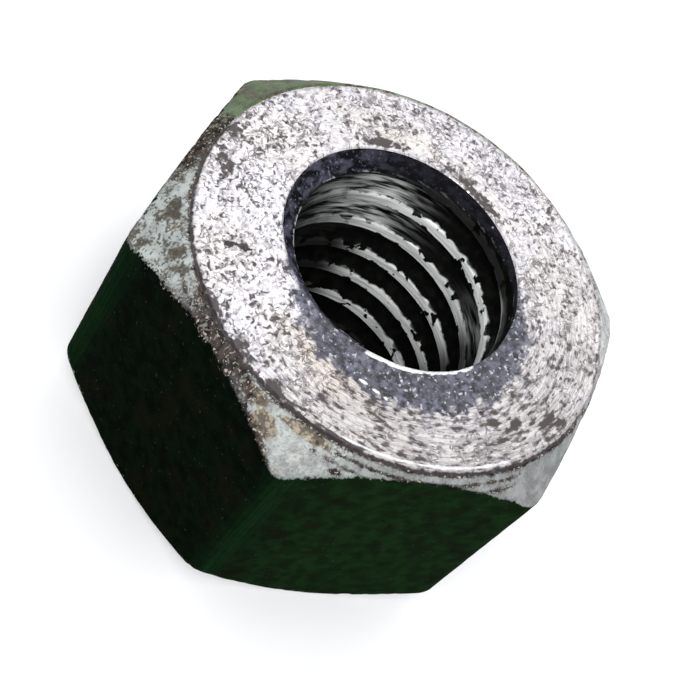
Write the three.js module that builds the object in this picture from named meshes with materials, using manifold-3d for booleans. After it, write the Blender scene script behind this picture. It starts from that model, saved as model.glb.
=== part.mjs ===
// Hex nut, metric coarse thread, right hand.
// Millimetres, +Z along the thread axis, origin at the centre of the lower bearing face,
// two of the six corners on the X axis and two of the six flats facing +Y and -Y.

import * as THREE from 'three';
import { mergeVertices } from 'three/addons/utils/BufferGeometryUtils.js';
import Module from 'manifold-3d';

const wasm = await Module();
wasm.setup();

// ---- driving dimensions ----
const acrossFlats = 13;
const height = 8;
const cornerRadius = 0.7; // rounding of the six upright edges
const faceDiameter = 12.45; // flat turned disc at each end, inside the chamfer
const chamferAngle = THREE.MathUtils.degToRad(40); // outer chamfer, up from the end face

const threadDiameter = 8;
const pitch = 1.25;
const flankAngle = THREE.MathUtils.degToRad(30); // half of the 60 degree thread form
const countersinkDiameter = 8.2; // mouth of the bore, at each end face
const countersinkAngle = THREE.MathUtils.degToRad(30); // down from the end face

// ---- fineness of the facets ----
const facetsPerTurn = 36;
const facetsPerCorner = 4;
const chamferFacets = 72;
const mergeDistance = 1e-5; // corners closer than this are one corner

// ---- what follows from them ----
const apothem = acrossFlats / 2;
const faceRadius = faceDiameter / 2;
const threadRadius = threadDiameter / 2;
const sharpDepth = pitch / 2 / Math.tan(flankAngle); // height of the sharp thread triangle
const threadDepth = (5 / 8) * sharpDepth;
const crestRadius = threadRadius - threadDepth; // inner, minor radius
const rootFlat = pitch / 8; // width of the groove at its floor
const countersinkRadius = countersinkDiameter / 2;
const overrun = 0.5; // how far each cutting tool runs past the end faces
const insideShare = 0.15; // how much of its depth the thread tool reaches inside the crests

// ---- solids for the boolean cuts ----

function toSolid(geometry) {
  const bare = geometry.clone();
  bare.deleteAttribute('normal');
  bare.deleteAttribute('uv');
  const merged = mergeVertices(bare, mergeDistance);
  return new wasm.Manifold(new wasm.Mesh({
    numProp: 3,
    vertProperties: new Float32Array(merged.attributes.position.array),
    triVerts: new Uint32Array(merged.index.array),
  }));
}

function toGeometry(solid) {
  const mesh = solid.getMesh();
  const geometry = new THREE.BufferGeometry();
  geometry.setAttribute('position', new THREE.BufferAttribute(mesh.vertProperties, 3));
  geometry.setIndex(new THREE.BufferAttribute(mesh.triVerts, 1));
  return geometry;
}

// A body turned about the Z axis from (radius, z) points that start and end on the axis.
function turned(profile, facets) {
  const points = profile.map(([radius, z]) => new THREE.Vector2(radius, z));
  const geometry = new THREE.LatheGeometry(points, facets);
  return toSolid(geometry.rotateX(Math.PI / 2));
}

// ---- the blank: a hexagon with rounded corners, chamfered at both ends ----

function hexagonBar() {
  const outline = new THREE.Shape();
  const arcCentre = (apothem - cornerRadius) / Math.cos(Math.PI / 6);
  for (let corner = 0; corner < 6; corner += 1) {
    const angle = corner * Math.PI / 3;
    outline.absarc(
      arcCentre * Math.cos(angle), arcCentre * Math.sin(angle), cornerRadius,
      angle - Math.PI / 6, angle + Math.PI / 6, false,
    );
  }
  outline.closePath();
  return toSolid(new THREE.ExtrudeGeometry(outline, {
    depth: height, bevelEnabled: false, curveSegments: facetsPerCorner,
  }));
}

function chamferEnvelope() {
  const rimRadius = acrossFlats / Math.sqrt(3) + overrun; // clear of the corners
  const rimDrop = (rimRadius - faceRadius) * Math.tan(chamferAngle);
  return turned([
    [0, 0],
    [faceRadius, 0],
    [rimRadius, rimDrop],
    [rimRadius, height - rimDrop],
    [faceRadius, height],
    [0, height],
  ], chamferFacets);
}

// ---- the tapped bore: a hole with a countersink at each end, and a helical groove ----

function boreTool() {
  const sink = (countersinkRadius - crestRadius) * Math.tan(countersinkAngle);
  const mouthRadius = countersinkRadius + overrun / Math.tan(countersinkAngle);
  return turned([
    [0, -overrun],
    [mouthRadius, -overrun],
    [crestRadius, sink],
    [crestRadius, height - sink],
    [mouthRadius, height + overrun],
    [0, height + overrun],
  ], facetsPerTurn);
}

// A right-hand helix about the Z axis.  Its frames stay radial and axial, so that the
// section swept along it is the true axial section of the thread.
class ThreadHelix extends THREE.Curve {
  constructor(radius, lead, startZ, turns) {
    super();
    this.radius = radius;
    this.lead = lead;
    this.startZ = startZ;
    this.turns = turns;
    this.arcLengthDivisions = turns * facetsPerTurn;
  }

  getPoint(t, target = new THREE.Vector3()) {
    const angle = t * this.turns * 2 * Math.PI;
    return target.set(
      this.radius * Math.cos(angle),
      this.radius * Math.sin(angle),
      this.startZ + t * this.turns * this.lead,
    );
  }

  computeFrenetFrames(segments) {
    const tangents = [];
    const normals = [];
    const binormals = [];
    for (let step = 0; step <= segments; step += 1) {
      const angle = (step / segments) * this.turns * 2 * Math.PI;
      tangents.push(new THREE.Vector3(-Math.sin(angle), Math.cos(angle), 0));
      normals.push(new THREE.Vector3(Math.cos(angle), Math.sin(angle), 0));
      binormals.push(new THREE.Vector3(0, 0, -1));
    }
    return { tangents, normals, binormals };
  }
}

function threadTool() {
  const inner = -threadDepth * (1 + insideShare);
  const innerHalf = rootFlat / 2 - inner * Math.tan(flankAngle);
  const section = new THREE.Shape([
    new THREE.Vector2(inner, -innerHalf),
    new THREE.Vector2(0, -rootFlat / 2),
    new THREE.Vector2(0, rootFlat / 2),
    new THREE.Vector2(inner, innerHalf),
  ]);
  const turns = Math.ceil(height / pitch) + 2;
  const startZ = (height - turns * pitch) / 2;
  const helix = new ThreadHelix(threadRadius, pitch, startZ, turns);
  return toSolid(new THREE.ExtrudeGeometry(section, {
    steps: turns * facetsPerTurn, extrudePath: helix,
  }));
}

// ---- the part ----

const brightSteel = new THREE.MeshStandardMaterial({
  color: 0xb4b3b1, roughness: 0.45, metalness: 0.9, flatShading: true,
});

const nut = hexagonBar()
  .intersect(chamferEnvelope())
  .subtract(boreTool())
  .subtract(threadTool());

const nutBody = new THREE.Mesh(toGeometry(nut), brightSteel);
nutBody.name = 'nut_body';

const hexNut = new THREE.Group();
hexNut.name = 'hex_nut';
hexNut.add(nutBody);

export default hexNut;
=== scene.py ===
"""A worn steel hex nut with a tapped bore, standing on its lower face on a pale floor.

The shape is worked out in millimetres, in the CAD model's frame: +Z up the thread axis,
two corners on the X axis. Angles go round +Z from the corner on +X.
"""

from math import atan, cos, pi, radians, sin, tan

import bpy
import numpy as np
from mathutils import Matrix, Vector, noise


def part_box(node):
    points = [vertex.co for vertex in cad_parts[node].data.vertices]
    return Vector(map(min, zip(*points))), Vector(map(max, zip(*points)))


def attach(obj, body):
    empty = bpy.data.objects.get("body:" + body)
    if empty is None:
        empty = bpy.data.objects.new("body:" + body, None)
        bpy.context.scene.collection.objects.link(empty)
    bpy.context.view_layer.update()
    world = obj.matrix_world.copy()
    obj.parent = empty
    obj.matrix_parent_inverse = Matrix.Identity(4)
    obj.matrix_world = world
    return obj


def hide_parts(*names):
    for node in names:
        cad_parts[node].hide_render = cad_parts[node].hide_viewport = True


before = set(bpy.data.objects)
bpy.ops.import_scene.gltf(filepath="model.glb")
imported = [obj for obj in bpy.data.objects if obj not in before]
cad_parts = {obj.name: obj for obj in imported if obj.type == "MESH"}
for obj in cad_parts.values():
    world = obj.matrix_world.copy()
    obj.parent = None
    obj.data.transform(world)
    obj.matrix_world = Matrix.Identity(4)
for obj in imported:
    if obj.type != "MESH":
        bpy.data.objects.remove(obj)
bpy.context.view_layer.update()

MM = 0.001
NODE = "nut_body"
low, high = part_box(NODE)

# ---- the blank, in millimetres ----
APOTHEM = (high.y - low.y) / 2 / MM  # half of the width across flats
HEIGHT = (high.z - low.z) / MM
CORNER_RADIUS = 0.7
CHAMFER_ANGLE = radians(40)  # down from the end face
CHAMFER_SLOPE = tan(CHAMFER_ANGLE)
LEAST_DROP = 0.05  # how far a chamfer falls at least before it meets a flat
FACE_RADIUS = 6.22
FACE_CENTRE = (-0.06, 0.18)  # the turned face and its chamfer run a little out of true
LOWER_FACE_RADIUS = 6.35
LOWER_FACE_CENTRE = (0.0, 0.0)
RIM_ROLL = 0.06  # rounding where the face ends
GROOVE_WIDTH = 0.13  # the dark line between the face and the chamfer
GROOVE_DEPTH = 0.07
EDGE_ROLL = 0.09  # rounding where the chamfer meets a flat

# ---- the tapped bore ----
THREAD_RADIUS = 4.0
PITCH = 1.25
FLANK = tan(radians(30))
THREAD_DEPTH = 0.625 * PITCH / 2 / FLANK
CREST_RADIUS = THREAD_RADIUS - THREAD_DEPTH
ROOT_FLAT = PITCH / 8
THREAD_CENTRE = (-0.18, 0.18)
THREAD_START = radians(-28)  # angle at which a groove's middle leaves the lower face
MOUTH_RADIUS = 3.66  # upper countersink, punched out of true with the thread
MOUTH_CENTRE = (-0.40, -0.07)
MOUTH_SLOPE = tan(radians(28))
LOWER_MOUTH_RADIUS = 3.8
LOWER_MOUTH_CENTRE = (0.16, 0.12)
LOWER_MOUTH_SLOPE = tan(radians(30))
LIP = 0.04  # bevel where a countersink breaks through an end face
THREAD_FADE = (0.32, 0.75)  # depths between which the groove grows to its full size

# ---- fineness of the mesh ----
CORNER_COLUMNS = 10
FLAT_COLUMNS = 54
UPPER_FACE_ROWS = 30
LOWER_FACE_ROWS = 15
CHAMFER_ROWS = 12
FLAT_ROWS = 34
ROWS_PER_PITCH = 18
CLIMB_ROWS = int(ROWS_PER_PITCH * (HEIGHT / PITCH + 1)) + 2
SHARP_ANGLE = radians(50)  # edges that turn by more than this stay sharp in the shading

FACE, BODY, BORE = range(3)  # the zones, and their material slots


# ---------------------------------------------------------------- helpers for the shape

def smooth(value, start, end):
    """0 at start, 1 at end, with an S-shaped rise between them."""
    t = np.clip((np.asarray(value, float) - start) / (end - start), 0, 1)
    return t * t * (3 - 2 * t)


def turned_from(angle, centre):
    """Signed degrees from centre round to angle, from -180 to 180."""
    return (np.degrees(angle) - centre + 180) % 360 - 180


def facing(angle, bearing, reach, soft):
    """1 round the bearing, falling over the last soft degrees to 0 at reach degrees from it."""
    return smooth(reach - np.abs(turned_from(angle, bearing)), 0, soft)


def bell(offset, width):
    """1 where the offset is 0, 0.6 at one width from there, 0.14 at two and 0.01 at three."""
    return np.exp(-0.5 * (offset / width) ** 2)


def cloud(points, size, seed, octaves=3):
    """Soft random values from about -1 to 1 at the points, with lumps of about the given size."""
    shift = Vector((seed * 17.3, seed * 5.1, seed * 9.7))
    return np.array([
        noise.fractal(Vector(p) / size + shift, 1.0, 2.0, octaves) for p in points
    ])


def corner_arc():
    """Distance from the axis to the centre of a corner's arc, and half of the angle it spans."""
    centre = (APOTHEM - CORNER_RADIUS) / cos(pi / 6)
    return centre, atan(CORNER_RADIUS * 0.5 / (centre + CORNER_RADIUS * cos(pi / 6)))


def column_angles():
    """Angles of the mesh's columns: even across each flat, and closer round each corner."""
    arc_end = corner_arc()[1]
    one_side = []
    for step in range(CORNER_COLUMNS):
        one_side.append(-arc_end + 2 * arc_end * step / CORNER_COLUMNS)
    reach = tan(pi / 6 - arc_end)
    for step in range(FLAT_COLUMNS):
        across = -reach + 2 * reach * step / FLAT_COLUMNS
        one_side.append(pi / 6 + atan(across))
    return np.array([side * pi / 3 + a for side in range(6) for a in one_side])


def outline(angle):
    """Distance from the axis to the hexagon with rounded corners."""
    centre, arc_end = corner_arc()
    turn = np.abs((angle + pi / 6) % (pi / 3) - pi / 6)
    inside = np.maximum(CORNER_RADIUS**2 - (centre * np.sin(turn)) ** 2, 0)
    rounded = centre * np.cos(turn) + np.sqrt(inside)
    return np.where(turn < arc_end, rounded, APOTHEM / np.cos(pi / 6 - turn))


def circle(angle, centre, radius):
    """Distance from the axis to a circle whose centre is off the axis."""
    along = centre[0] * np.cos(angle) + centre[1] * np.sin(angle)
    return along + np.sqrt(radius**2 - centre[0] ** 2 - centre[1] ** 2 + along**2)


def bore_wall(angle, z):
    """Distance from the axis to the bore's wall, and the distances to its thread and cones."""
    phase = thread_phase(angle, z)
    from_middle = np.abs(phase) * PITCH
    groove = np.clip((ROOT_FLAT / 2 + THREAD_DEPTH * FLANK - from_middle) / FLANK, 0, THREAD_DEPTH)
    groove = groove * smooth(HEIGHT - z, *THREAD_FADE)
    thread = circle(angle, THREAD_CENTRE, CREST_RADIUS) + groove
    upper = circle(angle, MOUTH_CENTRE, MOUTH_RADIUS) - (HEIGHT - z) / MOUTH_SLOPE
    lower = circle(angle, LOWER_MOUTH_CENTRE, LOWER_MOUTH_RADIUS) - z / LOWER_MOUTH_SLOPE
    cones = np.maximum(upper, lower)
    return np.maximum(thread, cones), thread, cones


def thread_phase(angle, z):
    """Place across the thread: 0 in a groove's middle, -0.5 and 0.5 on the crests beside it."""
    return (z / PITCH - (angle - THREAD_START) / (2 * pi) + 0.5) % 1 - 0.5


# ---------------------------------------------------------------- the nut's mesh

class Rings:
    """Rings of points round the axis, each with the zone that it lies in."""

    def __init__(self, angles):
        self.angles = angles
        self.radius, self.z, self.zone = [], [], []

    def add(self, radius, z, zone):
        count = len(self.angles)
        self.radius.append(np.broadcast_to(radius, count))
        self.z.append(np.broadcast_to(z, count))
        self.zone.append(zone)

    def points(self):
        """All points in millimetres, by ring and then round the ring."""
        radius, z = np.array(self.radius), np.array(self.z)
        return np.stack([radius * np.cos(self.angles), radius * np.sin(self.angles), z], axis=-1)


def chamfer_drop(angles, centre, radius):
    """How far below the end face the chamfer meets the hexagon."""
    flat = outline(angles)
    from_centre = np.hypot(flat * np.cos(angles) - centre[0], flat * np.sin(angles) - centre[1])
    return np.maximum((from_centre - radius) * CHAMFER_SLOPE, LEAST_DROP)


def end_rings(angles, mouth, centre, radius, face_rows):
    """Rings from the bore's mouth across an end face and its chamfer, as (radius, depth, zone).

    Also returns the depth at which the flats start. In the middle of a flat the chamfer is
    narrow, so the groove and the rolled edge shrink to fit.
    """
    rim = circle(angles, centre, radius)
    flat = outline(angles)
    drop = chamfer_drop(angles, centre, radius)
    level = np.zeros(len(angles))
    rows = [(mouth, level + LIP, FACE)]
    for step in range(face_rows + 1):
        t = step / face_rows
        inner = mouth + LIP
        rows.append((inner + (rim - RIM_ROLL - inner) * t, level, FACE))
    for swing in (pi / 4, pi / 2):
        rows.append((rim - RIM_ROLL * (1 - sin(swing)), level + RIM_ROLL * (1 - cos(swing)), FACE))
    ledge = np.minimum(GROOVE_WIDTH, 0.45 * (flat - rim))
    rows.append((rim + 0.3 * ledge, level + GROOVE_DEPTH, FACE))
    rows.append((rim + 0.7 * ledge, level + GROOVE_DEPTH, BODY))
    start, start_drop = rim + ledge, np.minimum(GROOVE_DEPTH, 0.6 * drop)
    trim = np.minimum(EDGE_ROLL, 0.3 * (flat - start))
    end, end_drop = flat - trim, drop - trim * CHAMFER_SLOPE
    for step in range(CHAMFER_ROWS + 1):
        t = step / CHAMFER_ROWS
        rows.append((start + (end - start) * t, start_drop + (end_drop - start_drop) * t, BODY))
    for t in (0.25, 0.5, 0.75):
        before, corner, after = (1 - t) ** 2, 2 * t * (1 - t), t * t
        rows.append((
            end * before + flat * (corner + after),
            end_drop * before + drop * corner + (drop + EDGE_ROLL) * after,
            BODY,
        ))
    return rows, drop + EDGE_ROLL


def add_outside(rings):
    """Adds the rings from the upper mouth, over the outside, to the lower mouth."""
    angles = rings.angles
    top_mouth = bore_wall(angles, HEIGHT - LIP + 0 * angles)[0]
    low_mouth = bore_wall(angles, LIP + 0 * angles)[0]
    upper, upper_drop = end_rings(angles, top_mouth, FACE_CENTRE, FACE_RADIUS, UPPER_FACE_ROWS)
    lower, lower_drop = end_rings(
        angles, low_mouth, LOWER_FACE_CENTRE, LOWER_FACE_RADIUS, LOWER_FACE_ROWS
    )
    for radius, depth, zone in upper:
        rings.add(radius, HEIGHT - depth, zone)
    for step in range(FLAT_ROWS + 1):
        t = step / FLAT_ROWS
        rings.add(outline(angles), (HEIGHT - upper_drop) * (1 - t) + lower_drop * t, BODY)
    for radius, depth, zone in reversed(lower):
        rings.add(radius, depth, zone)


def add_bore(rings):
    """Adds the bore's rings. They climb with the thread, by a pitch in one turn."""
    climb = PITCH * (rings.angles - rings.angles[0]) / (2 * pi)
    for row in range(CLIMB_ROWS):
        z = np.clip(PITCH * (row / ROWS_PER_PITCH - 1) + climb, LIP, HEIGHT - LIP)
        rings.add(bore_wall(rings.angles, z)[0], z, BORE)


def outside_faces(outside, zones):
    """The outside's faces with their zones. A face between two zones takes the later one."""
    columns = outside.shape[1]
    for row in range(len(outside) - 1):
        for column in range(columns):
            after = (column + 1) % columns
            corners = (
                outside[row, column], outside[row + 1, column],
                outside[row + 1, after], outside[row, after],
            )
            yield corners, max(zones[row], zones[row + 1])


def bore_faces(bore, top):
    """The bore's faces. After a turn, a ring meets the one that began a pitch higher."""
    rows, columns = bore.shape
    for row in range(rows - 1):
        for column in range(columns):
            if column + 1 < columns:
                low_next, high_next = bore[row, column + 1], bore[row + 1, column + 1]
            elif row + 1 + ROWS_PER_PITCH < rows:
                begun = row + ROWS_PER_PITCH
                low_next, high_next = bore[begun, 0], bore[begun + 1, 0]
            else:
                low_next, high_next = top, top
            yield (bore[row, column], bore[row + 1, column], high_next, low_next), BORE


def build_grid():
    """The nut's points in millimetres with their zones, and its faces with theirs.

    Some points of the bore's rings belong to no face: at either end the mouth's own points
    take their place.
    """
    rings = Rings(column_angles())
    add_outside(rings)
    outside_count = len(rings.radius)
    add_bore(rings)
    points = rings.points()
    number = np.arange(points[..., 0].size).reshape(points.shape[:2])
    outside, bore = number[:outside_count], number[outside_count:]
    bore_z = points[outside_count:, :, 2]
    near_end = LIP + 0.3 * PITCH / ROWS_PER_PITCH
    ends = ((bore_z < near_end, outside[-1]), (bore_z > HEIGHT - near_end, outside[0]))
    for at_end, mouth in ends:
        bore[at_end] = np.broadcast_to(mouth, bore.shape)[at_end]

    faces, zones = [], []
    for corners, zone in [*outside_faces(outside, rings.zone), *bore_faces(bore, outside[0, 0])]:
        distinct = [int(c) for i, c in enumerate(corners) if c != corners[i - 1]]
        if len(distinct) > 2:
            faces.append(distinct)
            zones.append(zone)
    return points.reshape(-1, 3), np.repeat(rings.zone, len(rings.angles)), faces, zones


# ---------------------------------------------------------------- wear, stains and dents

# Stains and the gouge on the upper face and its rim: distance from the axis, angle in degrees,
# then half of the length round the axis and half of the width across it.
RUST_STAINS = [
    (5.92, -95, 0.45, 0.18), (5.75, -86, 0.35, 0.14), (5.4, -82, 0.40, 0.11),
    (5.0, -96, 0.14, 0.12), (6.0, -38, 0.60, 0.12), (5.95, -24, 0.35, 0.20),
    (6.1, -10, 0.8, 0.16), (6.1, 6, 0.6, 0.08), (5.35, 62, 0.28, 0.10), (5.8, 72, 0.35, 0.10),
    (6.1, 76, 0.25, 0.12), (5.1, 56, 0.18, 0.10), (5.6, 54, 0.30, 0.08),
    (4.12, 166, 0.8, 0.15), (4.2, -150, 0.6, 0.12), (6.77, 10, 0.14, 0.07),
]
TAN_STAINS = [
    (6.74, -9, 0.30, 0.20), (6.37, 0, 0.65, 0.10), (6.40, -14, 0.35, 0.12),
    (4.4, -12, 0.7, 0.4), (4.6, 0, 0.6, 0.4), (4.5, -155, 0.7, 0.2),
]
GOUGE = [(4.60, -55, 0.11, 0.14), (4.82, -56.5, 0.05, 0.12), (5.04, -56, 0.10, 0.13)]
SCRATCH_ENDS = ((4.16, 7), (4.40, 18))  # distance from the axis, angle in degrees
SCRATCH_WIDTH = 0.022
BLUE_RING_BEARING = 35  # where the blue scale round the bore is widest
BLUE_RING_WIDTHS = (1.35, -0.45)  # there, and on the far side, where it has gone
TURNED_LINES = (0.26, 0.44)  # two fine cuts beside the groove, by distance from the rim

# Brushed steel on the bore's wall: angle in degrees, height, half of the width in degrees, half
# of the height, strength.
BRUSHED_PLACES = [
    (202, 6.85, 11, 0.22, 1.0), (224, 6.55, 14, 0.25, 0.4), (204, 5.62, 13, 0.22, 1.0),
    (216, 5.15, 16, 0.30, 0.5), (102, 5.85, 9, 0.20, 0.9), (112, 7.15, 11, 0.12, 0.8),
    (122, 5.35, 9, 0.20, 0.35),
]

# Chamfer colours at the six corners, from the corner on +X and round with the angle.
CORNER_TONES = [
    (0.29, 0.305, 0.30), (0.29, 0.30, 0.30), (0.50, 0.51, 0.51),
    (0.30, 0.33, 0.27), (0.10, 0.15, 0.065), (0.44, 0.47, 0.455),
]
CORNER_GRIME = [0.28, 0.25, 0.4, 0.7, 0.95, 0.75]  # how mottled the chamfer is there
BAND_HALF_WIDTH = 0.19  # of the worn band along a crest, as a share of the pitch


# Depths of wear in millimetres. Three values are for the faces, the body and the bore.
BROAD_WAVES = np.array([0.012, 0.012, 0.004])
FINE_WAVES = np.array([0.010, 0.010, 0.003])
PIT_DEPTHS = np.array([0.022, 0.010, 0.004])
CHIP_DEPTH = 0.02  # along the edge between chamfer and flat
CRUST_DEPTH = 0.006  # how far the thicker scale stands up in the bore
GOUGE_DEPTH = 0.06
SCRATCH_DEPTH = 0.02
RUST_DEPTH = 0.02


def spots(points, places):
    """1 in the middle of each stain, 0.6 at its edge, and fading out beyond it."""
    total = np.zeros(len(points))
    for distance, bearing, half_length, half_width in places:
        direction = Vector((cos(radians(bearing)), sin(radians(bearing))))
        x = points[:, 0] - distance * direction.x
        y = points[:, 1] - distance * direction.y
        across = x * direction.x + y * direction.y
        along = y * direction.x - x * direction.y
        total = np.maximum(total, bell(across, half_width) * bell(along, half_length))
    return total


def near_line(points, start, end, width):
    """1 on the straight line between two places given as (distance, degrees), 0 away from it."""
    a, b = (
        np.array([distance * cos(radians(turn)), distance * sin(radians(turn))])
        for distance, turn in (start, end)
    )
    t = np.clip((points[:, :2] - a) @ (b - a) / ((b - a) @ (b - a)), 0, 1)
    gap = np.linalg.norm(points[:, :2] - (a + t[:, None] * (b - a)), axis=1)
    return bell(gap, width)


def between_corners(angle, values):
    """Values given at the corners, blended between them so that each holds near its corner."""
    place = np.degrees(angle) % 360 / 60
    first = np.floor(place).astype(int) % 6
    share = smooth(place % 1, 0.15, 0.85)
    values = np.array(values, float)
    if values.ndim > 1:
        share = share[:, None]
    return values[first] * (1 - share) + values[(first + 1) % 6] * share


def face_marks(points, angle, radius, zone):
    """Marks on the upper end face: blue ring, painted lip highlight, turning, stains, gouge and
    groove.
    """
    z = points[:, 2]
    upward = z > HEIGHT / 2
    mouth = circle(angle, MOUTH_CENTRE, MOUTH_RADIUS)
    rim = circle(angle, FACE_CENTRE, FACE_RADIUS)
    marks = {}

    turn = 0.85 * turned_from(angle, BLUE_RING_BEARING)
    share = np.maximum(np.cos(np.radians(np.clip(turn, -90, 90))), 0) ** 1.2
    reach = BLUE_RING_WIDTHS[0] * share + BLUE_RING_WIDTHS[1] * (1 - share)
    marks["bluing"] = np.where(upward, reach - (radius - mouth), -1.0)
    # painted highlight: a thin bright line along the bore's upper edge, on one side only
    at_mouth = smooth(0.20 - np.abs(radius - mouth), 0, 0.16)
    marks["lip"] = np.where(z > HEIGHT - 1.5 * LIP, at_mouth, 0) * facing(angle, 34, 44, 30)
    marks["lathe"] = np.clip(
        0.8 * facing(angle, 40, 75, 40)
        + 0.4 * facing(angle, 118, 35, 20)
        + 0.3 * facing(angle, -165, 60, 30), 0, 1)
    marks["rust"] = np.where(upward, spots(points, RUST_STAINS), 0)
    marks["tan"] = np.where(upward, spots(points, TAN_STAINS), 0)
    marks["gouge"] = np.where(upward & (zone == FACE), spots(points, GOUGE), 0)
    marks["scratch"] = np.where(upward, near_line(points, *SCRATCH_ENDS, SCRATCH_WIDTH), 0)

    groove = bell(radius - rim - 0.04, 0.065)
    lines = facing(angle, 30, 35, 15)
    for offset in TURNED_LINES:
        groove = groove + 0.8 * lines * bell(radius - rim - offset, 0.035)
    strength = 0.25 + 0.75 * facing(angle, -8, 105, 25)
    marks["groove"] = np.where(upward & (zone != BORE), np.clip(strength * groove, 0, 1), 0)
    marks["rim_light"] = np.where(upward, lines * bell(radius - rim + 0.13, 0.05), 0)
    return marks


def body_marks(points, angle, radius, zone):
    """Marks on the chamfers and flats: distance from their edge, grime, dirt, painted light on one
    flat and painted highlights by two corners.
    """
    z = points[:, 2]
    upper_drop = chamfer_drop(angle, FACE_CENTRE, FACE_RADIUS)
    low_edge = chamfer_drop(angle, LOWER_FACE_CENTRE, LOWER_FACE_RADIUS)
    marks = {}

    # The mark "chamfer" is above 0 on a chamfer and below 0 on a flat.
    inward = (outline(angle) - radius) / cos(CHAMFER_ANGLE)
    down = np.maximum(np.minimum(HEIGHT - upper_drop - z, z - low_edge), 0)
    marks["chamfer"] = np.where(zone == BODY, np.where(inward > 0.02, inward, -down), 1.0)
    marks["grime"] = between_corners(angle, CORNER_GRIME)
    narrow = smooth(0.9 - upper_drop, 0, 0.7)
    worst = narrow * facing(angle, -40, 60, 30)
    beside_corner = 0.9 * bell(inward, 0.18) * facing(angle, -9, 11, 6)
    behind = 0.85 * facing(angle, -89, 21, 16)
    marks["dirt_line"] = np.maximum(worst, np.maximum(beside_corner, behind))
    # painted light: the flat round 36 degrees is made brighter and greener, as if lit from that
    # side
    marks["green"] = facing(angle, 36, 40, 20)
    # painted highlights: bright green lines down two rounded corners
    near_corner_highlight = 0.6 * bell(turned_from(angle, 2.5), 2.0)
    far_corner_highlight = 0.5 * bell(turned_from(angle, -58), 2.2)
    marks["corner_highlight"] = near_corner_highlight + far_corner_highlight
    return marks


def bore_marks(points, angle, zone):
    """Marks in the bore: its cones, painted shade on one side, the worn bands along the crests,
    brushed places and a painted highlight where cone meets thread.
    """
    z = points[:, 2]
    in_bore = zone == BORE
    _, thread, cones = bore_wall(angle, z)
    marks = {}

    marks["cone"] = smooth(cones - thread, -0.03, 0.03)
    # painted shade: the cones' far side darkened as if turned away from the light
    marks["shaded_side"] = facing(angle, 150, 90, 45)
    from_crest = 0.5 - np.abs(thread_phase(angle, z))
    on_thread = in_bore & (cones < thread)
    marks["band"] = np.where(on_thread, np.maximum(1 - from_crest / BAND_HALF_WIDTH, -1), -1)
    # Where this is high, the crests' worn bands fade out and their steel is darkened.
    low_rows = smooth(turned_from(angle, 200), -14, 14) * smooth(4.7 - z, 0, 0.5)
    high_rows = 0.95 * smooth(turned_from(angle, 193), 0, 48)
    near_side = 0.75 * smooth(turned_from(angle, 130), 8, -16) * smooth(6.0 - z, -0.1, 0.2)
    end_rows = np.maximum(smooth(z, 6.70, 6.90), smooth(0.9 - z, 0, 0.2))
    faded = np.maximum(np.maximum(low_rows, high_rows), np.maximum(near_side, end_rows))
    marks["faded"] = np.where(in_bore, faded, 0)
    brushed = np.zeros(len(points))
    for bearing, level, half_turn, half_height, strength in BRUSHED_PLACES:
        place = bell(z - level, half_height) * bell(turned_from(angle, bearing), half_turn)
        brushed = np.maximum(brushed, strength * place)
    marks["drawn"] = np.where(in_bore, brushed, 0)
    # painted highlight where the upper cone meets the thread
    marks["ridge_highlight"] = np.where(in_bore & (z > HEIGHT / 2), bell(cones - thread, 0.06), 0)
    return marks


def surface_marks(points, zone):
    """Numbers stored on the points, for the shape's wear and for the materials."""
    angle = np.arctan2(points[:, 1], points[:, 0])
    radius = np.hypot(points[:, 0], points[:, 1])
    return {
        **face_marks(points, angle, radius, zone),
        **body_marks(points, angle, radius, zone),
        **bore_marks(points, angle, zone),
    }


def wear_down(points, normals, zone, marks):
    """The points after wear.

    Outside, waves, pits and chips are cut inward, so that the nut keeps its size. In the bore,
    a thin skin of scale stands up from the wall.
    """
    body, bore = zone == BODY, zone == BORE
    broad = 0.5 + 0.5 * cloud(points, 1.3, 1, 2)
    fine = 0.5 + 0.5 * cloud(points, 0.45, 2)
    pits = smooth(cloud(points, 0.38, 3), 0.25, 0.6)
    chips = smooth(cloud(points, 0.5, 4), 0.05, 0.5) * bell(marks["chamfer"], 0.16)
    crusts = smooth(cloud(points, 0.6, 5), 0.1, 0.6)

    depth = BROAD_WAVES[zone] * broad + FINE_WAVES[zone] * fine + PIT_DEPTHS[zone] * pits
    depth += GOUGE_DEPTH * marks["gouge"] + SCRATCH_DEPTH * marks["scratch"]
    depth += RUST_DEPTH * marks["rust"]
    depth += np.where(body, CHIP_DEPTH * chips, 0) + np.where(bore, CRUST_DEPTH * crusts, 0)
    moved = points - normals * np.where(bore, -np.abs(depth), depth)[:, None]
    moved[:, 2] = np.clip(moved[:, 2], 0, HEIGHT)
    return moved


def store_marks(mesh, points, marks):
    """Stores each mark, and the chamfer's tone, as an attribute of the mesh's points."""
    for name, values in marks.items():
        store = mesh.attributes.new(name, "FLOAT", "POINT")
        store.data.foreach_set("value", np.asarray(values, np.float32))
    tones = between_corners(np.arctan2(points[:, 1], points[:, 0]), CORNER_TONES)
    store = mesh.attributes.new("tone", "FLOAT_COLOR", "POINT")
    opaque = np.column_stack([tones, np.ones(len(points))])
    store.data.foreach_set("color", opaque.ravel().astype(np.float32))


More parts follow.
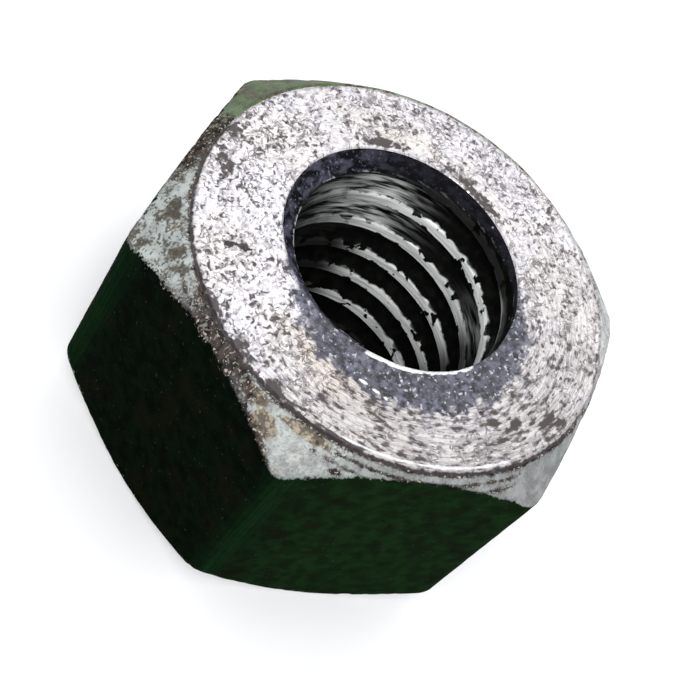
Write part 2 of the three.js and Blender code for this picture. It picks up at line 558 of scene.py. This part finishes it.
def make_nut(materials):
    """The nut as one closed mesh, with a material for each zone."""
    points, zone, faces, face_zones = build_grid()
    used = np.zeros(len(points), bool)
    for corners in faces:
        used[corners] = True
    renumber = np.cumsum(used) - 1
    points, zone = points[used], zone[used]
    faces = [[int(renumber[c]) for c in face] for face in faces]
    mesh = bpy.data.meshes.new("hex_nut")
    mesh.from_pydata((points * MM).tolist(), [], faces)
    normals = np.empty(len(points) * 3, np.float32)
    mesh.vertex_normals.foreach_get("vector", normals)
    marks = surface_marks(points, zone)
    worn = wear_down(points, normals.reshape(-1, 3), zone, marks)
    mesh.vertices.foreach_set("co", (worn * MM).ravel().astype(np.float32))
    store_marks(mesh, points, marks)
    for material in materials:
        mesh.materials.append(material)
    mesh.polygons.foreach_set("material_index", face_zones)
    mesh.polygons.foreach_set("use_smooth", [True] * len(mesh.polygons))
    mesh.set_sharp_from_angle(angle=SHARP_ANGLE)
    mesh.update()
    return mesh


# ---------------------------------------------------------------- materials

class Shade:
    """A material on a Principled shader, with short calls for the nodes that feed it."""

    def __init__(self, name):
        self.material = bpy.data.materials.new(name)
        self.material.use_nodes = True
        self.tree = self.material.node_tree
        self.shader = self.tree.nodes["Principled BSDF"]
        place = self.add("ShaderNodeTexCoord").outputs["Object"]
        self.place = self.vector("SCALE", place, scale=1 / MM)  # in millimetres

    def add(self, kind, **settings):
        """A new node of the given kind."""
        node = self.tree.nodes.new(kind)
        for name, value in settings.items():
            setattr(node, name, value)
        return node

    def fill(self, socket, value):
        """Links another node's output to the socket, or sets the socket to a number or colour."""
        if isinstance(value, bpy.types.NodeSocket):
            self.tree.links.new(value, socket)
        elif isinstance(value, tuple) and len(value) == 3 and socket.type == "RGBA":
            socket.default_value = (*value, 1)
        else:
            socket.default_value = value

    def vector(self, operation, *values, scale=None):
        """One step of vector arithmetic on sockets or triples."""
        node = self.add("ShaderNodeVectorMath", operation=operation)
        for socket, value in zip(node.inputs, values):
            self.fill(socket, value)
        if scale is not None:
            node.inputs["Scale"].default_value = scale
        return node.outputs["Value" if operation == "LENGTH" else "Vector"]

    def maths(self, operation, *values):
        """One step of arithmetic on sockets or numbers."""
        node = self.add("ShaderNodeMath", operation=operation)
        for socket, value in zip(node.inputs, values):
            self.fill(socket, value)
        return node.outputs[0]

    def times(self, *values):
        """The product of all the values."""
        result = values[0]
        for value in values[1:]:
            result = self.maths("MULTIPLY", result, value)
        return result

    def most(self, *values):
        """The largest of the values."""
        result = values[0]
        for value in values[1:]:
            result = self.maths("MAXIMUM", result, value)
        return result

    def rise(self, value, start, end, low=0.0, high=1.0):
        """From low to high, in an S-shape, while the value goes from start to end."""
        node = self.add("ShaderNodeMapRange", interpolation_type="SMOOTHSTEP")
        for socket, number in zip(node.inputs, (value, start, end, low, high)):
            self.fill(socket, number)
        return node.outputs[0]

    def rough(self, value, grain, amount):
        """The value with a random part added, up to half of the amount either way."""
        return self.maths("MULTIPLY_ADD", self.maths("SUBTRACT", grain, 0.5), amount, value)

    def mark(self, name):
        """A number stored on the mesh's points."""
        return self.add("ShaderNodeAttribute", attribute_name=name).outputs["Fac"]

    def grain(self, size, seed, detail=2.0, stretch=(1, 1, 1), place=None, bend=0.0):
        """Random values about 0.5, in lumps of about the given size in millimetres."""
        lumps = tuple(1 / (size * factor) for factor in stretch)
        scaled = self.vector("MULTIPLY", place or self.place, lumps)
        moved = self.vector("ADD", scaled, (seed * 3.7, seed * 1.9, seed * 7.3))
        node = self.add("ShaderNodeTexNoise")
        for name, value in (
            ("Vector", moved), ("Scale", 1.0), ("Detail", detail), ("Distortion", bend),
        ):
            self.fill(node.inputs[name], value)
        return node.outputs["Fac"]

    def round_axis(self, centre, radius):
        """Coordinates whose first two parts go round the axis and whose third goes outward."""
        moved = self.vector("SUBTRACT", self.place, (*centre, 0))
        level = self.vector("MULTIPLY", moved, (1, 1, 0))
        outward = self.vector("LENGTH", level)
        around = self.vector("SCALE", self.vector("NORMALIZE", level), scale=radius)
        combine = self.add("ShaderNodeCombineXYZ")
        self.fill(combine.inputs["Z"], outward)
        return self.vector("ADD", around, combine.outputs[0])

    def mix(self, share, first, second):
        """The first colour where the share is 0, the second where it is 1."""
        node = self.add("ShaderNodeMix", data_type="RGBA")
        sockets = (node.inputs[0], node.inputs[6], node.inputs[7])  # factor, colours A and B
        for socket, value in zip(sockets, (share, first, second)):
            self.fill(socket, value)
        return node.outputs[2]

    def between(self, share, first, second):
        """The first number where the share is 0, the second where it is 1."""
        node = self.add("ShaderNodeMix", data_type="FLOAT")
        sockets = (node.inputs[0], node.inputs[2], node.inputs[3])  # factor, numbers A and B
        for socket, value in zip(sockets, (share, first, second)):
            self.fill(socket, value)
        return node.outputs[0]

    def finish(self, colour, metallic, roughness, height, relief):
        """Connects the shader. The relief is the height's full depth, in millimetres."""
        bump = self.add("ShaderNodeBump")
        bump.inputs["Distance"].default_value = relief * MM
        self.fill(bump.inputs["Height"], height)
        for name, value in (
            ("Base Color", colour), ("Metallic", metallic),
            ("Roughness", roughness), ("Normal", bump.outputs[0]),
        ):
            self.fill(self.shader.inputs[name], value)
        return self.material


# Colours, as linear RGB. A pair is the two ends of a mottle.
COOL_STEEL, WARM_STEEL = (0.77, 0.76, 0.79), (0.75, 0.72, 0.70)
SHADED_STEEL = (0.42, 0.39, 0.43)
TURNED_STEEL = (0.45, 0.425, 0.415)
TOOL_LINE = (0.24, 0.215, 0.21)
TAN_FILM = (0.62, 0.54, 0.44)
LILAC_FLECK, BROWN_FLECK = (0.105, 0.085, 0.11), (0.10, 0.07, 0.062)
RUST = (0.050, 0.032, 0.032)
FLECK_CORE = (0.032, 0.021, 0.018)
DARK_BLUE, PALE_BLUE = (0.022, 0.022, 0.030), (0.155, 0.157, 0.208)
BLUE_PATCH = (0.045, 0.042, 0.055)
BLUE_SPECKLE = (0.58, 0.58, 0.62)
GROOVE_DIRT = (0.025, 0.017, 0.019)
# a bright scratch, and painted highlights along the lip and inside the rim
BARE_METAL_AND_HIGHLIGHT = (0.86, 0.86, 0.88)

DARK_TAN, PALE_TAN = (0.060, 0.042, 0.026), (0.31, 0.265, 0.185)
GRIME = (0.075, 0.068, 0.058)
DARK_SOIL, BROWN_SOIL = (0.010, 0.007, 0.0065), (0.048, 0.034, 0.028)
SOIL_GRAIN = (0.42, 0.39, 0.35)
SOIL_FLAKE = (0.26, 0.235, 0.21)
DEEP_SCALE, DEEP_GREEN = (0.0007, 0.0018, 0.0007), (0.0028, 0.0088, 0.0024)
LIT_SCALE, LIT_GREEN = (0.0014, 0.0042, 0.0015), (0.0046, 0.0165, 0.0042)
BROWN_SCALE = (0.0036, 0.0042, 0.0018)
# painted highlight down two corners
CORNER_HIGHLIGHT = (0.0040, 0.0240, 0.0066)
SCALE_SPECK = (0.04, 0.06, 0.04)

DULL_CREST, BRIGHT_CREST = (0.62, 0.65, 0.63), (0.98, 0.98, 0.98)
# crest steel darkened where the mark 'faded' is high
DIMMED_CREST = (0.035, 0.045, 0.035)
BLACK_SCALE, GREY_SCALE = (0.0010, 0.0012, 0.0009), (0.005, 0.006, 0.004)
BRUSHED_STEEL = (0.85, 0.88, 0.85)
BLACK_CONE, BLUE_CONE = (0.003, 0.003, 0.005), (0.048, 0.048, 0.068)
CONE_SPECKLE = (0.16, 0.16, 0.21)
# painted shade on the cones' far side
CONE_SHADE = (0.003, 0.003, 0.0045)
# painted highlight on the mouth's edges
MOUTH_HIGHLIGHT = (0.60, 0.60, 0.64)

BODY_SPECULAR = 0.006  # matt scale hardly mirrors the white studio
BORE_SPECULAR = 0.04


def bright_steel(s, rings):
    """The turned face's bare metal, and how deep the tool's lines are cut into it."""
    warm = s.rise(s.grain(1.6, 6), 0.40, 0.62)
    shade = s.rise(s.grain(0.14, 7, 3.0, bend=0.5), 0.42, 0.66)
    turning = s.grain(0.045, 17, 2.0, stretch=(30, 30, 1), place=rings)
    cut_share = s.rise(s.mark("lathe"), 0.0, 1.0, 0.15, 0.6)
    cut = s.times(s.rise(turning, 0.50, 0.64), cut_share)
    bright = s.mix(warm, COOL_STEEL, WARM_STEEL)
    bright = s.mix(s.times(shade, 0.8), bright, SHADED_STEEL)
    bright = s.mix(s.times(s.mark("lathe"), 0.85), bright, TURNED_STEEL)
    bright = s.mix(s.times(cut, 0.6), bright, TOOL_LINE)
    return s.mix(s.times(s.mark("tan"), 0.4), bright, TAN_FILM), cut


def dark_flecks(s, flecks):
    """Where the face is flecked, cracked or rusted, and the colour there."""
    density = s.rough(s.times(s.mark("lathe"), 0.045), s.grain(0.8, 4, 2.0), 0.30)
    rust_mark = s.rough(s.mark("rust"), s.grain(0.26, 10, 4.0), 1.0)
    rust = s.rise(rust_mark, 0.15, 0.85)
    thick = s.maths("MULTIPLY_ADD", rust, 0.18, s.maths("ADD", flecks, density))
    crawl = s.grain(0.30, 3, 3.0, bend=0.8)
    cracks = s.rise(s.maths("ABSOLUTE", s.maths("SUBTRACT", crawl, 0.5)), 0.01, 0.05, 1.0, 0.0)
    cracked = s.times(cracks, s.rise(s.grain(0.5, 5), 0.42, 0.62), 0.8)
    dark = s.most(s.rise(thick, 0.52, 0.66), cracked)
    colour = s.mix(s.rise(s.grain(0.5, 8), 0.4, 0.6), LILAC_FLECK, BROWN_FLECK)
    colour = s.mix(rust, colour, RUST)
    return dark, s.mix(s.rise(thick, 0.58, 0.72), colour, FLECK_CORE)


def blue_ring(s, flecks):
    """Where the blue-grey scale lies round the bore, and its colour."""
    edge = s.rough(s.rough(s.mark("bluing"), s.grain(0.42, 9, 3.0), 1.3), flecks, 0.8)
    blue = s.mix(s.rise(s.grain(0.17, 12, 4.0), 0.36, 0.64), DARK_BLUE, PALE_BLUE)
    blue = s.mix(s.rise(s.grain(0.9, 18, 2.0), 0.42, 0.62, 0.0, 0.5), blue, BLUE_PATCH)
    speckle = s.rise(s.grain(0.13, 11, 2.0), 0.60, 0.70)
    return s.rise(edge, -0.12, 0.22), s.mix(s.times(speckle, 0.85), blue, BLUE_SPECKLE)


def painted_lip_highlight(s):
    """Painted highlight along the bore's upper edge."""
    return s.rise(s.rough(s.mark("lip"), s.grain(0.30, 15, 3.0), 1.5), 0.38, 0.6)


def turned_face_material():
    """Bright turned steel with dark flecks, blue-grey scale round the bore and brown stains."""
    s = Shade("turned_face")
    rings = s.round_axis(FACE_CENTRE, 5.0)
    spread = s.grain(0.15, 1, 4.0, bend=0.6)
    drawn = s.grain(0.125, 2, 4.0, stretch=(2.2, 2.2, 0.9), place=rings)
    flecks = s.between(s.mark("lathe"), spread, drawn)
    bright, cut = bright_steel(s, rings)
    dark, fleck_colour = dark_flecks(s, flecks)
    bluing, blue = blue_ring(s, flecks)
    colour = s.mix(s.times(dark, 0.92), bright, fleck_colour)
    colour = s.mix(s.times(bluing, 0.96), colour, blue)

    groove = s.rise(s.rough(s.mark("groove"), s.grain(0.18, 13, 3.0), 1.2), 0.35, 0.85)
    gouge = s.rise(s.rough(s.mark("gouge"), s.grain(0.09, 14, 3.0), 1.5), 0.38, 0.62)
    colour = s.mix(s.times(s.most(groove, gouge), 0.95), colour, GROOVE_DIRT)
    rim_light = s.rough(s.mark("rim_light"), s.grain(0.5, 19, 3.0), 0.9)
    # shine: a real bright scratch, plus painted highlights along the lip and inside the rim
    shine = s.most(
        s.rise(s.mark("scratch"), 0.3, 0.6), painted_lip_highlight(s), s.rise(rim_light, 0.45, 0.8, 0.0, 0.8)
    )
    colour = s.mix(shine, colour, BARE_METAL_AND_HIGHLIGHT)

    stained = s.most(bluing, groove, gouge, s.times(dark, 0.7))
    dull = s.times(stained, s.maths("SUBTRACT", 1.0, shine))
    sunk = s.times(s.most(dark, cut), -0.8)
    height = s.maths("ADD", sunk, s.times(s.grain(0.08, 16, 3.0), 0.6))
    return s.finish(
        colour, s.rise(dull, 0.0, 1.0, 1.0, 0.35), s.rise(dull, 0.0, 1.0, 0.38, 0.62), height, 0.02
    )


def chamfer_colour(s, fine, blotch, spot, grime):
    """Scraped metal in its corner's tone, with tan patches and grey mottling."""
    tone = s.add("ShaderNodeAttribute", attribute_name="tone").outputs["Color"]
    cloudy = s.rise(s.grain(0.35, 24, 4.0), 0.35, 0.65, 0.80, 1.12)
    pale = s.vector("MULTIPLY", tone, cloudy)
    tan_mark = s.rise(s.rough(s.rough(s.mark("tan"), blotch, 1.3), fine, 0.5), 0.34, 0.52)
    tan_share = s.times(s.rise(blotch, 0.50, 0.62), s.rise(grime, 0.1, 0.8))
    tan_colour = s.mix(s.rise(s.rough(spot, fine, 0.9), 0.42, 0.62), DARK_TAN, PALE_TAN)
    pale = s.mix(s.times(s.most(tan_mark, tan_share), 0.85), pale, tan_colour)
    mottled = s.times(s.rise(s.rough(fine, blotch, 0.7), 0.45, 0.64), s.rise(grime, 0.0, 0.7))
    return s.mix(s.times(mottled, 0.9), pale, GRIME)


def soil_on_chamfer(s, fine, blotch, spot):
    """Where soil and rust lie on the chamfer, and their colour."""
    near_rim = s.rise(s.rough(s.rough(s.mark("groove"), blotch, 1.7), fine, 1.6), 0.25, 0.85)
    soiled = s.rise(s.rough(s.rough(s.mark("dirt_line"), blotch, 0.8), fine, 1.2), 0.32, 0.72)
    rust = s.rise(s.rough(s.rough(s.mark("rust"), blotch, 0.7), fine, 1.2), 0.35, 0.7)
    colour = s.mix(s.rise(spot, 0.42, 0.60), DARK_SOIL, BROWN_SOIL)
    colour = s.mix(s.rise(fine, 0.58, 0.66, 0.0, 0.85), colour, SOIL_GRAIN)
    flakes = s.rise(s.grain(0.19, 29, 4.0, bend=0.6), 0.58, 0.66, 0.0, 0.6)
    return s.most(near_rim, soiled, rust), s.mix(flakes, colour, SOIL_FLAKE)


def flat_colour(s):
    """The flats' green-black scale, with brown clouds, painted highlights by two corners, pale
    specks, and one flat painted brighter and greener as painted light.
    """
    # painted light: the mark 'green' makes one flat brighter and greener
    deep = s.mix(s.mark("green"), DEEP_SCALE, DEEP_GREEN)
    lit = s.mix(s.mark("green"), LIT_SCALE, LIT_GREEN)
    scale = s.mix(s.rise(s.grain(0.40, 25, 6.0), 0.36, 0.64), deep, lit)
    brown = s.rise(s.grain(0.9, 26, 4.0), 0.50, 0.68)
    scale = s.mix(s.times(brown, 0.7), scale, BROWN_SCALE)
    lines = s.rise(s.grain(0.07, 27, 2.0, stretch=(1, 1, 40)), 0.42, 0.66)
    # painted highlight along two corners, broken by fine vertical lines
    corner_glint = s.times(s.mark("corner_highlight"), s.rise(lines, 0.0, 1.0, 0.45, 1.0))
    scale = s.mix(corner_glint, scale, CORNER_HIGHLIGHT)
    specks = s.rise(s.grain(0.11, 28, 1.0), 0.70, 0.78)
    return s.mix(s.times(specks, 0.3), scale, SCALE_SPECK)


def body_material():
    """The forged blank: a scraped pale chamfer, and flats under thick green-black scale."""
    s = Shade("forged_blank")
    grime = s.mark("grime")
    fine = s.grain(0.09, 21, 4.0, bend=0.4)
    blotch = s.grain(0.45, 22, 4.0, bend=0.5)
    spot = s.grain(0.20, 23, 3.0)
    soil, soil_colour = soil_on_chamfer(s, fine, blotch, spot)
    pale = chamfer_colour(s, fine, blotch, spot, grime)
    pale = s.mix(s.times(soil, 0.94), pale, soil_colour)

    ragged = s.rise(grime, 0.1, 0.8, 0.25, 0.75)
    edge = s.rough(s.rough(s.mark("chamfer"), blotch, ragged), fine, s.times(ragged, 0.9))
    bare = s.rise(edge, -0.05, 0.07)
    clean = s.times(bare, s.rise(soil, 0.0, 1.0, 1.0, 0.15))
    s.shader.inputs["Specular IOR Level"].default_value = BODY_SPECULAR
    height = s.maths("ADD", s.times(fine, 0.6), s.times(blotch, 0.5))
    return s.finish(
        s.mix(bare, flat_colour(s), pale), s.times(clean, 0.65),
        s.rise(clean, 0.0, 1.0, 0.75, 0.48), height, 0.03,
    )


def thread_colour(s, lines, ragged):
    """Black scale worn to steel along the crests, and where the steel is bare."""
    level_lines = s.grain(0.075, 42, 2.0, stretch=(16, 16, 1))
    bites = s.rise(s.grain(0.40, 48, 4.0), 0.54, 0.66, 0.0, -0.8)
    band = s.rough(s.maths("ADD", s.mark("band"), bites), ragged, 0.9)
    unfaded = s.rise(s.mark("faded"), 0.0, 1.0, 1.0, 0.06)
    worn = s.times(s.rise(band, 0.10, 0.36), unfaded)
    steel = s.mix(s.rise(level_lines, 0.36, 0.60), DULL_CREST, BRIGHT_CREST)
    steel = s.mix(s.times(s.mark("faded"), 0.7), steel, DIMMED_CREST)
    black = s.mix(s.rise(s.grain(0.35, 44, 3.0), 0.45, 0.65), BLACK_SCALE, GREY_SCALE)
    drawn = s.times(s.mark("drawn"), s.rise(s.rough(lines, level_lines, 0.9), 0.34, 0.74))
    colour = s.mix(s.times(drawn, 0.95), black, BRUSHED_STEEL)
    return s.mix(worn, colour, steel), s.most(worn, drawn)


def cone_colour(s, around):
    """The countersinks' blue-black scale, speckled, with painted shade darkening one side."""
    patch = s.grain(0.19, 45, 4.0, stretch=(2.2, 2.2, 1), place=around)
    scale = s.mix(s.rise(patch, 0.40, 0.62), BLACK_CONE, BLUE_CONE)
    scale = s.mix(s.rise(s.grain(0.10, 46, 3.0), 0.58, 0.68, 0.0, 0.6), scale, CONE_SPECKLE)
    return s.mix(s.times(s.mark("shaded_side"), 0.85), scale, CONE_SHADE)


def bore_material():
    """Black scale in the thread, worn to bright steel along the crests; a blue-black mouth."""
    s = Shade("tapped_bore")
    around = s.round_axis(THREAD_CENTRE, 3.7)
    lines = s.grain(0.06, 41, 2.0, stretch=(16, 16, 1), place=around)
    ragged = s.grain(0.20, 43, 4.0, stretch=(2.2, 2.2, 1), place=around)
    cone = s.mark("cone")
    thread, bare_thread = thread_colour(s, lines, ragged)
    colour = s.mix(cone, thread, cone_colour(s, around))
    # painted highlights: a line where the cone meets the thread, and the bore's upper edge
    ridge_highlight = s.rise(s.rough(s.mark("ridge_highlight"), s.grain(0.14, 47, 3.0), 1.6), 0.75, 1.0, 0.0, 0.5)
    ridge_highlight = s.times(ridge_highlight, s.rise(s.mark("shaded_side"), 0.0, 0.8, 1.0, 0.15))
    shine = s.most(ridge_highlight, painted_lip_highlight(s))
    colour = s.mix(shine, colour, MOUTH_HIGHLIGHT)

    bare = s.most(s.times(bare_thread, s.maths("SUBTRACT", 1.0, cone)), shine)
    s.shader.inputs["Specular IOR Level"].default_value = BORE_SPECULAR
    height = s.maths("ADD", s.times(lines, 0.5), s.times(ragged, 0.7))
    return s.finish(
        colour, s.times(bare, 0.1), s.rise(bare, 0.0, 1.0, 0.65, 0.40), height, 0.015
    )


def floor_material():
    """Plain pale floor, with only a faint change of tone."""
    s = Shade("pale_floor")
    speck = s.grain(6.0, 61, 3.0)
    colour = s.mix(speck, (0.90, 0.90, 0.90), (0.93, 0.93, 0.93))
    return s.finish(colour, 0.0, 0.9, speck, 0.01)


# ---------------------------------------------------------------- camera, light and floor

def make_camera():
    """The camera, at the viewing angle of the photo."""
    aim = Vector((0.16, 0.42, 3.92)) * MM
    bearing, elevation, roll = radians(-8.2), radians(50.1), radians(40.4)
    distance = 43.3 * MM
    back = Vector((
        cos(bearing) * cos(elevation), sin(bearing) * cos(elevation), sin(elevation)
    ))
    data = bpy.data.cameras.new("camera")
    data.lens = 75.7
    data.sensor_width = 36
    data.clip_start = 0.001
    data.clip_end = 10
    camera = bpy.data.objects.new("camera", data)
    turn = back.to_track_quat("Z", "Y").to_matrix() @ Matrix.Rotation(roll, 3, "Z")
    camera.matrix_world = Matrix.Translation(aim + back * distance) @ turn.to_4x4()
    bpy.context.collection.objects.link(camera)
    bpy.context.scene.camera = camera


def make_light(name, bearing, elevation, distance, size, watts):
    """A soft round light, given by where it stands as seen from the nut."""
    out = Vector((
        cos(radians(bearing)) * cos(radians(elevation)),
        sin(radians(bearing)) * cos(radians(elevation)),
        sin(radians(elevation)),
    ))
    data = bpy.data.lights.new(name, "AREA")
    data.shape = "DISK"
    data.size = size
    data.energy = watts
    light = bpy.data.objects.new(name, data)
    light.location = out * distance + Vector((0, 0, HEIGHT / 2 * MM))
    light.rotation_mode = "QUATERNION"
    light.rotation_quaternion = (-out).to_track_quat("-Z", "Y")
    bpy.context.collection.objects.link(light)


def make_studio():
    """The floor, an even white surrounding and three soft lights."""
    size = 1.5  # half of the floor's side, in metres
    mesh = bpy.data.meshes.new("floor")
    mesh.from_pydata(
        [(-size, -size, 0), (size, -size, 0), (size, size, 0), (-size, size, 0)],
        [], [(0, 1, 2, 3)],
    )
    mesh.materials.append(floor_material())
    floor = bpy.data.objects.new("floor", mesh)
    floor.location.z = -0.02 * MM  # just clear of the nut's lower face
    bpy.context.collection.objects.link(floor)

    world = bpy.data.worlds.new("studio")
    world.use_nodes = True
    background = world.node_tree.nodes["Background"]
    background.inputs["Color"].default_value = (0.97, 0.98, 1.0, 1)
    background.inputs["Strength"].default_value = 1.0
    bpy.context.scene.world = world
    make_light("key", bearing=172, elevation=52, distance=0.14, size=0.10, watts=0.03)
    make_light("front", bearing=-6, elevation=52, distance=0.16, size=0.08, watts=0.125)
    make_light("side", bearing=70, elevation=22, distance=0.16, size=0.08, watts=0.009)


bpy.context.scene.view_settings.view_transform = "Standard"
make_camera()
make_studio()
nut = bpy.data.objects.new(
    "hex_nut", make_nut([turned_face_material(), body_material(), bore_material()])
)
bpy.context.collection.objects.link(nut)
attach(nut, "root")
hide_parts(NODE)
